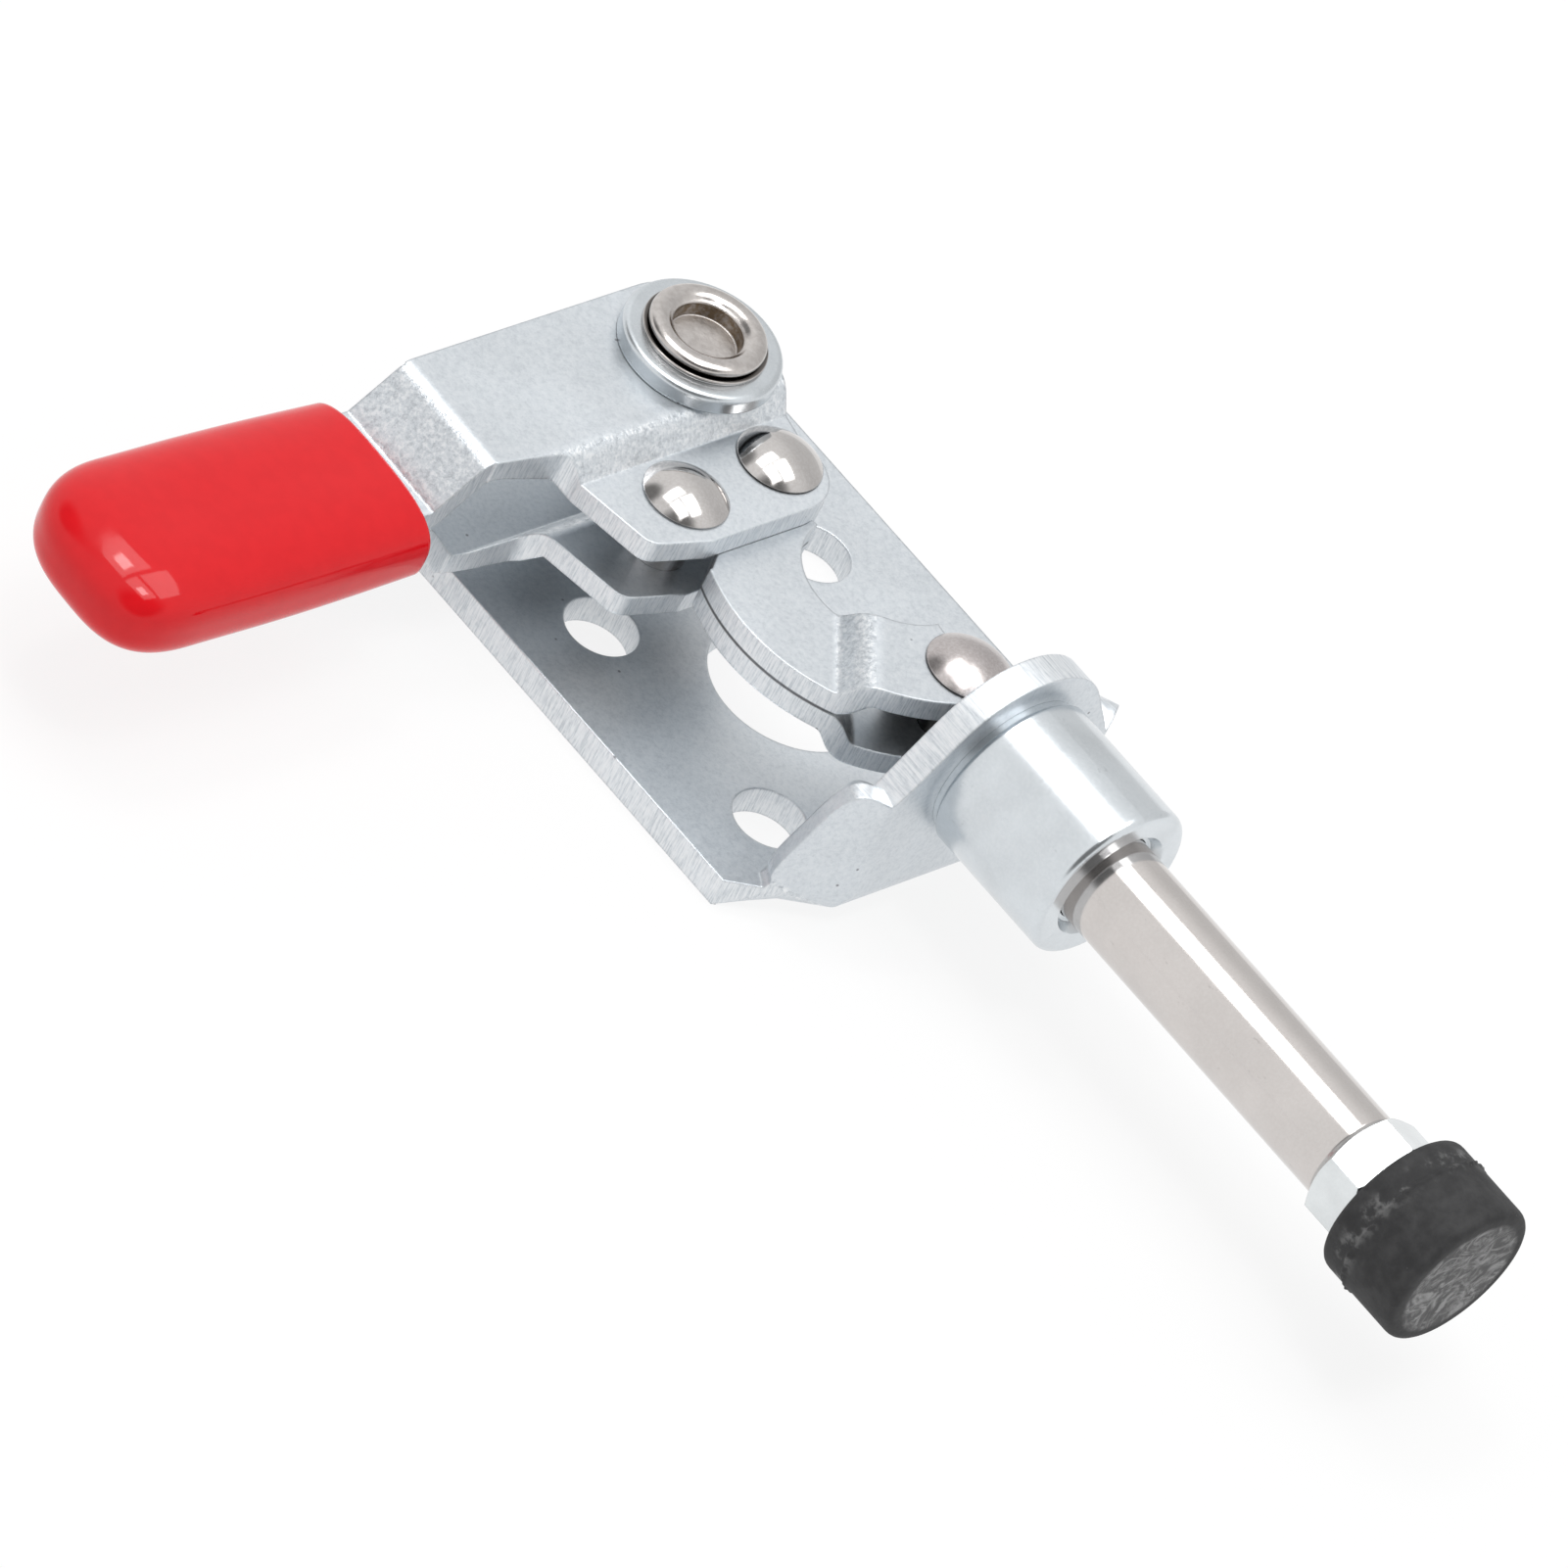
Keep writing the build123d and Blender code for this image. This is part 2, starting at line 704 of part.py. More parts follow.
# ---------------------------------------------------------------- plunger
def make_plunger_rod():
    """Round rod: a hooked tongue between the links behind, and a tapped hole in front."""
    rear_x = plunger_pivot[0] - tongue_rear
    cut_height = rod_radius - tongue_thickness / 2 + 1
    with BuildPart() as plunger_rod:
        with BuildSketch(Plane.YZ.offset(rear_x)):
            with Locations((0, axis_height)):
                Circle(rod_radius)
        extrude(amount=rod_end_x - rear_x)
        front_rim = plunger_rod.edges().filter_by(GeomType.CIRCLE).sort_by(Axis.X)[-1]
        chamfer(front_rim, rod_end_chamfer)

        with BuildSketch(Plane.XZ):
            for side in (1, -1):
                with Locations(
                    (
                        (rear_x + rod_shoulder_x) / 2 - 1,
                        axis_height + side * (tongue_thickness + cut_height) / 2,
                    )
                ):
                    Rectangle(rod_shoulder_x - rear_x + 2, cut_height)
        extrude(amount=2 * rod_radius, both=True, mode=Mode.SUBTRACT)

        pin_x = plunger_pivot[0]
        with BuildSketch(Plane.XY.offset(axis_height)):
            with Locations(plunger_pivot):
                Circle(rivet_shank_radius + pin_clearance)
            with BuildLine():
                Polyline(
                    *[(pin_x + x, y) for x, y in hook_flank],
                    (pin_x + hook_flank[-1][0], -2 * rod_radius),
                    (rear_x - 1, -2 * rod_radius),
                    (rear_x - 1, hook_finger[0][1]),
                    *[(pin_x + x, y) for x, y in hook_finger],
                    close=True,
                )
            make_face()
        extrude(amount=rod_radius, both=True, mode=Mode.SUBTRACT)

        with BuildSketch(Plane.YZ.offset(rod_end_x)):
            with Locations((0, axis_height)):
                Circle(thread_radius + thread_clearance)
        extrude(amount=-tapped_depth, mode=Mode.SUBTRACT)
    save(plunger_rod.part, "plunger_rod")


def make_hex_nut():
    """Locking nut against the rod's end, with both rims chamfered."""
    corner = nut_width / 2 / cos(radians(30))
    rim = (corner - nut_width / 2 * 0.97) * tan(radians(30))
    with BuildPart() as hex_nut:
        with BuildSketch(Plane.YZ.offset(rod_end_x)):
            with Locations((0, axis_height)):
                RegularPolygon(nut_width / 2, 6, major_radius=False, rotation=90)
        extrude(amount=nut_thickness)
        with BuildSketch(Plane.XZ):
            with BuildLine():
                Polyline(
                    (rod_end_x, axis_height + thread_radius + thread_clearance),
                    (rod_end_x, axis_height + nut_width / 2 * 0.97),
                    (rod_end_x + rim, axis_height + corner),
                    (nut_front_x - rim, axis_height + corner),
                    (nut_front_x, axis_height + nut_width / 2 * 0.97),
                    (nut_front_x, axis_height + thread_radius + thread_clearance),
                    close=True,
                )
            make_face()
        revolve(axis=Axis((0, 0, axis_height), (1, 0, 0)), mode=Mode.INTERSECT)
    save(hex_nut.part, "hex_nut")


def make_tip_screw():
    """Screw that carries the cap: plain shank in the rod and nut, flat head in the rubber."""
    with BuildPart() as tip_screw:
        with BuildSketch(Plane.YZ.offset(rod_end_x - screw_engagement)):
            with Locations((0, axis_height)):
                Circle(thread_radius)
        extrude(amount=cap_rear_x + cap_cover - rod_end_x + screw_engagement)
        with BuildSketch(Plane.YZ.offset(cap_rear_x + cap_cover)):
            with Locations((0, axis_height)):
                Circle(screw_head_radius)
        extrude(amount=screw_head_thickness)
    save(tip_screw.part, "tip_screw")


def make_rubber_cap():
    """Moulded cap over the screw's head, with a parting rib round it near the back."""
    flash_x = cap_rear_x + cap_flash_from_back
    with BuildPart() as rubber_cap:
        with BuildSketch(Plane.YZ.offset(cap_rear_x)):
            with Locations((0, axis_height)):
                Circle(cap_radius)
        extrude(amount=cap_length)
        fillet(rubber_cap.edges().filter_by(GeomType.CIRCLE), cap_edge)
        with BuildSketch(Plane.YZ.offset(flash_x)):
            with Locations((0, axis_height)):
                Circle(cap_radius + cap_flash_height)
        extrude(amount=cap_flash_width)
        with BuildSketch(Plane.YZ.offset(cap_rear_x)):
            with Locations((0, axis_height)):
                Circle(thread_radius)
        extrude(amount=cap_cover, mode=Mode.SUBTRACT)
        with BuildSketch(Plane.YZ.offset(cap_rear_x + cap_cover)):
            with Locations((0, axis_height)):
                Circle(screw_head_radius)
        extrude(amount=screw_head_thickness, mode=Mode.SUBTRACT)
    save(rubber_cap.part, "rubber_cap")


# ---------------------------------------------------------------- build everything
os.makedirs("parts", exist_ok=True)
print_motion()

make_base_plate()
make_guide_bushing()
make_pivot_rivet()
make_pivot_washer()
make_pivot_sleeve()
make_pivot_spacer()

make_handle_plate("handle_upper_plate", 1)
make_handle_plate("handle_lower_plate", -1)
make_handle_grip()
make_plain_rivet("link_rivet", link_pivot, tab_gap_half + handle_sheet)
make_stop_rivet()

make_link("link_upper", 1)
make_link("link_lower", -1)
make_plain_rivet("plunger_rivet", plunger_pivot, link_front_half + link_sheet)

make_plunger_rod()
make_hex_nut()
make_tip_screw()
make_rubber_cap()
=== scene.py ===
# %% [markdown]
# # A small push-pull toggle clamp
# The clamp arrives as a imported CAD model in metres, with its mounting face on z = 0 and its
# plunger pointing along +X. This lesson gives it light, a camera and finishes, and remakes the
# three pieces that a CAD program leaves too plain: the dipped grip, the rolled rivet and the
# rubber cap. Every piece rides on a CAD body, so it moves with the handle or the plunger.

import bpy
import json
import math
import numpy as np
from mathutils import Matrix, Vector


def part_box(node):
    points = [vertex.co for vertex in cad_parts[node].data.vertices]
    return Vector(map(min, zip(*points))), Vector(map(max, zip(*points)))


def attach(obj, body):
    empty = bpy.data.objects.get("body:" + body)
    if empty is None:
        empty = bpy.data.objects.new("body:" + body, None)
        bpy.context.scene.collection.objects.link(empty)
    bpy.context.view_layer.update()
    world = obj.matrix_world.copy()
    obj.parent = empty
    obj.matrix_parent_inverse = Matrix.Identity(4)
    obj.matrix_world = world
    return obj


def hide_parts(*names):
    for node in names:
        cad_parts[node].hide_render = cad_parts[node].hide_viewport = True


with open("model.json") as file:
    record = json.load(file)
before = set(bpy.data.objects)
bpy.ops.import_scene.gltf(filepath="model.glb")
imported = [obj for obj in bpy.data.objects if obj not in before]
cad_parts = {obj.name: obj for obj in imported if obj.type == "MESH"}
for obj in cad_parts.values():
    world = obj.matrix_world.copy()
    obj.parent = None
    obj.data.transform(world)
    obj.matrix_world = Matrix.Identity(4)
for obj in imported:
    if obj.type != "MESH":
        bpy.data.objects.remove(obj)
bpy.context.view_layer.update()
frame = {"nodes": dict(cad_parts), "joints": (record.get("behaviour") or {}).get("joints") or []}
print("nodes:", sorted(frame["nodes"]))

# %% [markdown]
# ## Shared places
# Finishes and remade pieces are written in millimetres. The places that they share with the CAD
# parts come from the frame, and are rounded, because a mesh keeps only seven digits.

# %% Shared places
MM = 0.001


def millimetres(place):
    """A place in metres, in millimetres to three decimals."""
    return [round(c / MM, 3) for c in place]


pivots = {joint["name"]: joint.get("pos_m") for joint in frame["joints"]}
PIVOT_X, PIVOT_Y, AXIS_HEIGHT = millimetres(pivots["handle_swing"])
NOSE_FRONT = millimetres(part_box("base_plate")[1])[0]
WASHER_TOP, RING_TOP = (
    millimetres(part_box(node)[1])[2] for node in ("pivot_washer", "pivot_rivet")
)
CAP_BACK, CAP_FRONT = (millimetres(corner)[0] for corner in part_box("rubber_cap"))
print("pivot:", PIVOT_X, PIVOT_Y, "plunger axis:", AXIS_HEIGHT)
print("nose:", NOSE_FRONT, "washer and ring tops:", WASHER_TOP, RING_TOP)
print("cap:", CAP_BACK, "to", CAP_FRONT)

# %% [markdown]
# ## Camera
# A small object seen from a metre away looks nearly parallel, so the lens is very long. The
# camera is given by where it stands and by three unit vectors: the picture's right, its down,
# and the way it looks. Blender's camera looks along its own -Z with +Y up, so down and forward
# change sign.

# %% Camera
CAMERA_PLACE = (0.40719710, -0.70400294, 0.67260573)
PICTURE_RIGHT = (0.61100014, 0.70222486, 0.36545736)
PICTURE_DOWN = (0.69296397, -0.25124903, -0.67577723)
PICTURE_FORWARD = (-0.38272677, 0.66614876, -0.64012972)
FOCAL_LENGTH_PIXELS = 18188.44
PICTURE_PIXELS = 1601
SENSOR_WIDTH = 36.0


def add_camera():
    """A long-lens camera whose axes are the picture's right, up and backward directions."""
    data = bpy.data.cameras.new("camera")
    data.sensor_width = SENSOR_WIDTH
    data.lens = FOCAL_LENGTH_PIXELS / PICTURE_PIXELS * SENSOR_WIDTH
    data.clip_start = 0.05
    data.clip_end = 20.0
    camera = bpy.data.objects.new("camera", data)
    axes = Matrix(
        (PICTURE_RIGHT, [-d for d in PICTURE_DOWN], [-f for f in PICTURE_FORWARD])
    ).transposed()
    camera.matrix_world = Matrix.Translation(CAMERA_PLACE) @ axes.to_4x4()
    bpy.context.scene.collection.objects.link(camera)
    bpy.context.scene.camera = camera
    return camera


camera = add_camera()
print("lens:", round(camera.data.lens, 1), "mm")

# %% [markdown]
# ## A small language for shaders
# Shader nodes are easier to read as sums. One small class holds a node's output socket, and its
# operators add Math nodes, so `1 - mask` or `grain * 0.2` builds the graph.


# %% Socket arithmetic
class Value:
    """An output socket that can be used in sums; each operator adds one Math node."""

    def __init__(self, graph, socket):
        self.graph = graph
        self.socket = socket

    def math(self, operation, *others, swap=False):
        """One Math node on this value and others; swap puts this value last."""
        terms = [self, *others]
        if swap:
            terms.reverse()
        return self.graph.node("ShaderNodeMath", {"operation": operation}, *terms)

    def __add__(self, other):
        return self.math("ADD", other)

    def __radd__(self, other):
        return self.math("ADD", other, swap=True)

    def __sub__(self, other):
        return self.math("SUBTRACT", other)

    def __rsub__(self, other):
        return self.math("SUBTRACT", other, swap=True)

    def __mul__(self, other):
        return self.math("MULTIPLY", other)

    def __rmul__(self, other):
        return self.math("MULTIPLY", other, swap=True)

    def __abs__(self):
        return self.math("ABSOLUTE")

    def smooth(self, low, high):
        """0 below low, 1 above high, and a smooth ramp between them."""
        return self.graph.node(
            "ShaderNodeMapRange",
            {"interpolation_type": "SMOOTHSTEP"},
            {"Value": self, "From Min": low, "From Max": high},
        )


print("Value is ready")


# %% [markdown]
# Any other node comes from the one method `node` of a graph. It sets the node's options first
# and then feeds its inputs: a number or a colour goes straight into a socket, and a `Value` is
# linked to it. The same class serves materials and the world.


# %% Graph
# A Mix node has one set of sockets for each kind of data; these are the colour ones.
MIX_FACTOR, MIX_A, MIX_B, MIX_RESULT = 0, 6, 7, 2


class Graph:
    """A node tree that is written as expressions."""

    def __init__(self, tree):
        self.tree = tree

    def node(self, kind, settings, *terms, output=0):
        """Adds one node: settings first, then its inputs, by order or by a dict of names."""
        node = self.tree.nodes.new(kind)
        for key, value in settings.items():
            setattr(node, key, value)
        if terms and isinstance(terms[0], dict):
            pairs = [(node.inputs[key], value) for key, value in terms[0].items()]
        else:
            pairs = list(zip(node.inputs, terms))
        for socket, value in pairs:
            if isinstance(value, Value):
                self.tree.links.new(value.socket, socket)
            else:
                socket.default_value = value
        return Value(self, node.outputs[output])

    def axes(self, vector):
        """The three components of a vector."""
        split = self.node("ShaderNodeSeparateXYZ", {}, vector).socket.node
        return [Value(self, out) for out in split.outputs]

    def mix(self, mask, a, b):
        """Colour a where mask is 0 and colour b where it is 1."""
        inputs = {MIX_FACTOR: mask, MIX_A: a, MIX_B: b}
        return self.node("ShaderNodeMix", {"data_type": "RGBA"}, inputs, output=MIX_RESULT)

    def paint(self, body, *layers):
        """Lays (mask, colour) layers over a colour, each on top of the one before."""
        for mask, colour in layers:
            body = self.mix(mask, body, colour)
        return body

    def towards(self, vector, direction, narrow, wide):
        """1 where a unit vector is within narrow degrees of a direction, 0 beyond wide."""
        aim = Vector(direction).normalized()
        settings = {"operation": "DOT_PRODUCT"}
        dot = self.node("ShaderNodeVectorMath", settings, vector, aim, output="Value")
        return dot.smooth(math.cos(math.radians(wide)), math.cos(math.radians(narrow)))


print("Graph is ready")


# %% [markdown]
# ## Materials
# A material begins with Blender's principled shader. Numbers that are the same all over go on
# its own sockets, and what changes over the surface is fed to them. Patterns are measured in
# millimetres on the object's own coordinates, so that they stay where they are as it moves.


# %% Materials
BEVEL_SAMPLES = 6
WHITE = (1.0, 1.0, 1.0, 1.0)


class Finish(Graph):
    """A material under construction, with its principled shader ready to be fed."""

    def __init__(self, name, **constants):
        self.material = bpy.data.materials.new(name)
        self.material.use_nodes = True
        super().__init__(self.material.node_tree)
        self.principled = self.tree.nodes["Principled BSDF"]
        for socket, value in constants.items():
            self.principled.inputs[socket.replace("_", " ")].default_value = value
        self.place = self.node("ShaderNodeTexCoord", {}, output="Object")
        self.normal = self.node("ShaderNodeNewGeometry", {}, output="True Normal")

    def at(self, x=1.0, y=1.0, z=1.0, centre=(0.0, 0.0, 0.0)):
        """Object coordinates in millimetres from a centre, times one number per axis."""
        scale = (x / MM, y / MM, z / MM)
        shift = [-c * s for c, s in zip(centre, (x, y, z))]
        return self.node(
            "ShaderNodeMapping", {}, {"Vector": self.place, "Location": shift, "Scale": scale}
        )

    def noise(self, vector, scale=1.0, detail=2.0, roughness=0.5, distortion=0.0):
        """Soft noise from 0 to 1; scale counts its waves per millimetre."""
        return self.node(
            "ShaderNodeTexNoise",
            {},
            {
                "Vector": vector,
                "Scale": scale,
                "Detail": detail,
                "Roughness": roughness,
                "Distortion": distortion,
            },
        )

    def spots(self, vector, scale=1.0):
        """Distance to the nearest of many scattered points."""
        return self.node("ShaderNodeTexVoronoi", {}, {"Vector": vector, "Scale": scale})

    def feed(self, **values):
        """Links values to the principled shader's sockets; an underscore stands for a space."""
        for socket, value in values.items():
            self.tree.links.new(value.socket, self.principled.inputs[socket.replace("_", " ")])

    def bump(self, height, depth_mm, edge_mm=0.0):
        """A relief whose full height is depth_mm over edges rounded by edge_mm."""
        inputs = {"Distance": depth_mm * MM, "Height": height}
        if edge_mm:
            settings = {"samples": BEVEL_SAMPLES}
            inputs["Normal"] = self.node("ShaderNodeBevel", settings, {"Radius": edge_mm * MM})
        self.feed(Normal=self.node("ShaderNodeBump", {}, inputs))


def shade(colour, factor):
    """A colour times a factor."""
    return [c * factor for c in colour[:3]] + [1.0]


def wear(nodes, finish):
    """Gives CAD nodes one material in place of the ones they came with."""
    for name in nodes:
        mesh = frame["nodes"][name].data
        mesh.materials.clear()
        mesh.materials.append(finish)
    print(finish.name, "on", ", ".join(nodes))


print("Finish, shade and wear are ready")

# %% [markdown]
# ## Zinc-plated sheet
# The stamped pieces are zinc plated: a pale, slightly blue metal with a satin shine. Three
# things tell it from a plain grey. The plating has a very fine grain that makes each spot a
# little lighter or darker. Where the sheet is bent, the grain opens up, and its sparkle is painted
# in as bright glints among dark flecks. And the sheared edges are bright, with short strokes
# through the sheet's thickness, left by the punch.
#
# An edge is found from the surface's normal: on a flat sheet it is where the normal lies level.
# The base plate turns up at its front, so past the bend a level normal is the sheet's own face.
# The bend itself is where that change is half done; on the other pieces it is any tilted face.
# The two links lie face to face, and painted shade keeps the line between them dark.


# %% Zinc plate
ZINC = (0.66, 0.70, 0.735, 1.0)
DULL_GRAIN = (0.3, 0.32, 0.35, 1.0)
GLINT = (0.95, 0.96, 0.97, 1.0)
DARK_FLECK = (0.25, 0.27, 0.3, 1.0)
BRIGHT_STROKE = (0.93, 0.94, 0.95, 1.0)
DARK_STROKE = (0.35, 0.38, 0.41, 1.0)
SPECK = (0.16, 0.16, 0.17, 1.0)
SEAM_SHADE = (0.06, 0.06, 0.065, 1.0)
SHEET_RELIEF = 0.012
SHEET_ROUNDING = 0.22


def zinc_sheet(name, folded=False, paired=False):
    """Plated sheet: folded sheet turns up at the nose, and paired sheets lie face to face."""
    finish = Finish(name, Metallic=0.88)
    across, _, up = [abs(part) for part in finish.axes(finish.normal)]
    x, _, z = finish.axes(finish.at())
    if folded:
        turned_up = (x + z - NOSE_FRONT).smooth(-0.6, 0.6)
        facing = up * (1 - turned_up) + across * turned_up
        opened = turned_up * (1 - turned_up) * 4
        flat_strokes = finish.noise(finish.at(11.0, 11.0, 0.8), 1.0, 2.0, 0.6)
        wing_strokes = finish.noise(finish.at(0.5, 7.0, 7.0), 1.0, 2.0, 0.6)
        strokes = flat_strokes * (1 - turned_up) + wing_strokes * turned_up
    else:
        facing = up
        opened = (1 - up.smooth(0.93, 0.99)) * (0.7 + 0.3 * up.smooth(0.8, 0.9))
        strokes = finish.noise(finish.at(10.0, 10.0, 0.8), 1.0, 2.0, 0.6)
    edge = 1 - facing.smooth(0.3, 0.45)
    opened = opened * (1 - edge)
    clouds = finish.noise(finish.at(), 0.13, 3.0)
    grain = finish.noise(finish.at(), 3.2, 5.0, 0.75)
    sparkle = finish.noise(finish.at(), 2.7, 3.0, 0.8)
    specks = 1 - finish.spots(finish.at(), 0.34).smooth(0.025, 0.05)
    body = finish.paint(
        finish.mix(clouds.smooth(0.3, 0.7), shade(ZINC, 0.94), shade(ZINC, 1.02)),
        (grain.smooth(0.42, 0.68) * 0.19, WHITE),
        ((1 - grain).smooth(0.5, 0.68) * 0.17, DULL_GRAIN),
        # Painted glints and dark flecks stand in for the sparkle of the opened grain at the bends.
        (opened * sparkle.smooth(0.5, 0.62) * 0.7, GLINT),
        (opened * (1 - sparkle).smooth(0.52, 0.64) * 0.45, DARK_FLECK),
        (edge * strokes.smooth(0.35, 0.65) * 0.55, BRIGHT_STROKE),
        (edge * (1 - strokes).smooth(0.54, 0.7) * 0.22, DARK_STROKE),
        (specks * 0.75, SPECK),
    )
    if paired:
        # Painted shade: the line where the two links meet is darkened.
        seam = edge * (1 - abs(z - AXIS_HEIGHT).smooth(0.05, 0.16))
        body = finish.mix(seam * 0.85, body, SEAM_SHADE)
    rough = 0.27 + 0.12 * grain + 0.05 * clouds + specks * 0.2 + edge * 0.08
    finish.feed(Base_Color=body, Roughness=rough)
    relief = grain * 0.7 + opened * sparkle * 4.0 + edge * strokes * 1.2
    finish.bump(relief, SHEET_RELIEF, SHEET_ROUNDING)
    return finish.material


wear(["base_plate"], zinc_sheet("folded_zinc", folded=True))
wear(["handle_upper_plate", "handle_lower_plate"], zinc_sheet("handle_zinc"))
wear(["link_upper", "link_lower"], zinc_sheet("link_zinc", paired=True))

# %% [markdown]
# ## Turned and drawn steel
# The bushing, washer, sleeve and spacer are turned on a lathe, so their grain runs round them.
# The rod is drawn and polished, so its grain runs along it. A noise texture that is stretched
# along one axis gives both: squeezed across the grain, pulled out along it. The rivets are bright
# nickel, with a line of painted shade where a head sits on its sheet.

# %% Turned and drawn steel
NICKEL = (0.58, 0.555, 0.54, 1.0)
RIVET_SEAT_SHADE = (0.07, 0.065, 0.06, 1.0)
LINK_RIVET_SEAT = 3.05
PLUNGER_RIVET_SEAT = 3.1375
TURNED_ROUNDING = 0.12


def drawn_steel(name, tint, stretch, roughness, depth=0.002, mottle=0.1, marks=0.0, seat=None):
    """Steel with a stretched grain, soft clouds of tone and a few handling marks.

    A rivet's heads sit at seat millimetres above and below the plunger's axis; painted shade
    darkens each head where it sits on its sheet.
    """
    finish = Finish(name, Metallic=1.0)
    lines = finish.noise(finish.at(*stretch), 1.0, 4.0, 0.6)
    clouds = finish.noise(finish.at(), 0.3, 3.0)
    grain = finish.noise(finish.at(), 5.0, 3.0, 0.7)
    mark = finish.noise(finish.at(0.5, 1.3, 1.3), 1.0, 5.0, 0.75).smooth(0.62, 0.72)
    body = finish.mix(clouds.smooth(0.3, 0.7), tint, shade(tint, 1 - mottle))
    body = finish.mix(grain.smooth(0.35, 0.7), body, finish.mix(mottle, body, WHITE))
    body = finish.mix(mark * marks, body, shade(tint, 0.45))
    if seat:
        _, _, z = finish.axes(finish.at())
        level = abs(z - AXIS_HEIGHT)
        # Painted shade: the foot of each rivet head is darkened where it meets the sheet.
        body = finish.mix(1 - level.smooth(seat + 0.06, seat + 0.13), body, RIVET_SEAT_SHADE)
    rough = roughness + 0.08 * lines + 0.04 * grain + marks * 0.2 * mark
    finish.feed(Base_Color=body, Roughness=rough)
    finish.bump(lines + 0.4 * grain, depth, TURNED_ROUNDING)
    return finish.material


even = (2, 2, 2)
bushing = drawn_steel("bushing_zinc", (0.68, 0.72, 0.75, 1), (4, 0.5, 0.5), 0.14, marks=0.35)
nut = drawn_steel("nut_zinc", (0.76, 0.79, 0.8, 1), even, 0.16)
washer = drawn_steel("washer_zinc", (0.64, 0.68, 0.71, 1), (1.5, 1.5, 6), 0.2, marks=0.2)
rod = drawn_steel(
    "rod_steel", (0.64, 0.605, 0.585, 1), (0.2, 5, 5), 0.05, depth=0.001, mottle=0.06, marks=0.35
)
rivet = drawn_steel("rivet_nickel", NICKEL, even, 0.04, depth=0.0012, seat=LINK_RIVET_SEAT)
post = drawn_steel("post_nickel", NICKEL, even, 0.04, depth=0.0012)
worn_rivet = drawn_steel(
    "worn_nickel",
    (0.5, 0.46, 0.45, 1),
    even,
    0.16,
    depth=0.004,
    mottle=0.14,
    marks=0.4,
    seat=PLUNGER_RIVET_SEAT,
)
wear(["guide_bushing"], bushing)
wear(["hex_nut"], nut)
wear(["pivot_washer", "pivot_sleeve", "pivot_spacer"], washer)
wear(["plunger_rod", "tip_screw"], rod)
wear(["link_rivet"], rivet)
wear(["stop_rivet"], post)
wear(["plunger_rivet"], worn_rivet)

# %% [markdown]
# ## Surfaces from arrays
# The three remade pieces are skins on a grid of points: rows follow a profile, columns go once
# round. One helper joins neighbouring points into faces, closes both ends with a point and turns
# the faces outwards. The sign of the volume inside the faces tells which way they look.


# %% Skins
def skin(name, grid, finish, body, node):
    """Closes a grid of rows and round columns: quads between rows and a fan at each end.

    Six times the volume is the sum of a . (b x c) + a . (c x d) over the quads a, b, c, d.
    """
    rows, columns = grid.shape[:2]
    index = np.arange(rows * columns).reshape(rows, columns)
    beside = np.roll(index, -1, axis=1)
    quads = np.stack((index[:-1], beside[:-1], beside[1:], index[1:]), axis=-1).reshape(-1, 4)
    ends = np.array((rows * columns, rows * columns + 1))
    first = np.stack((np.full(columns, ends[0]), beside[0], index[0]), axis=-1)
    last = np.stack((np.full(columns, ends[1]), index[-1], beside[-1]), axis=-1)
    points = np.concatenate((grid.reshape(-1, 3), grid[[0, -1]].mean(axis=1)))
    a, b, c, d = (points[quads[:, i]] for i in range(4))
    volume = np.einsum("ij,ij->", a, np.cross(b, c)) + np.einsum("ij,ij->", a, np.cross(c, d))
    order = -1 if volume < 0 else 1
    faces = [face for part in (quads, first, last) for face in part[:, ::order].tolist()]
    mesh = bpy.data.meshes.new(name)
    mesh.from_pydata((points * MM).tolist(), [], faces)
    mesh.polygons.foreach_set("use_smooth", np.ones(len(faces), bool))
    mesh.materials.append(finish)
    mesh.update()
    piece = bpy.data.objects.new(name, mesh)
    bpy.context.scene.collection.objects.link(piece)
    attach(piece, body)
    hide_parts(node)
    print(name, len(faces), "faces, volume", round(abs(volume) / 6, 1), "mm3")


print("skin is ready")

# %% [markdown]
# A turned piece starts as a profile, and its corners are rounded first, because real edges are
# never sharp.

# %% Profiles
SAME_PLACE = 1e-6
CLOSEST_ROWS = 0.004


def rounded(corners, spacing, steps=7):
    """A profile of (a, b, cut) corners; each is replaced by the parabola that touches both sides.

    The point at t is (1 - t)^2 before + 2 t (1 - t) corner + t^2 after, where before and after
    lie cut away from the corner. Long straights are filled with evenly spaced points.
    """
    corners = np.array(corners, float)
    here, cut = corners[1:-1, :2], corners[1:-1, 2:]
    back, ahead = corners[:-2, :2] - here, corners[2:, :2] - here
    before = here + back / np.linalg.norm(back, axis=1, keepdims=True) * cut
    after = here + ahead / np.linalg.norm(ahead, axis=1, keepdims=True) * cut
    t = np.linspace(0, 1, steps)[None, :, None]
    arcs = (1 - t) ** 2 * before[:, None] + 2 * t * (1 - t) * here[:, None] + t**2 * after[:, None]
    path = np.concatenate((corners[:1, :2], arcs.reshape(-1, 2), corners[-1:, :2]))
    length = np.concatenate(([0], np.cumsum(np.linalg.norm(np.diff(path, axis=0), axis=1))))
    keep = np.concatenate(([True], np.diff(length) > SAME_PLACE))
    path, length = path[keep], length[keep]
    stations = np.union1d(length, np.arange(0, length[-1], spacing))
    stations = stations[np.concatenate(([True], np.diff(stations) > CLOSEST_ROWS))]
    return np.stack([np.interp(stations, length, path[:, i]) for i in (0, 1)], axis=-1)


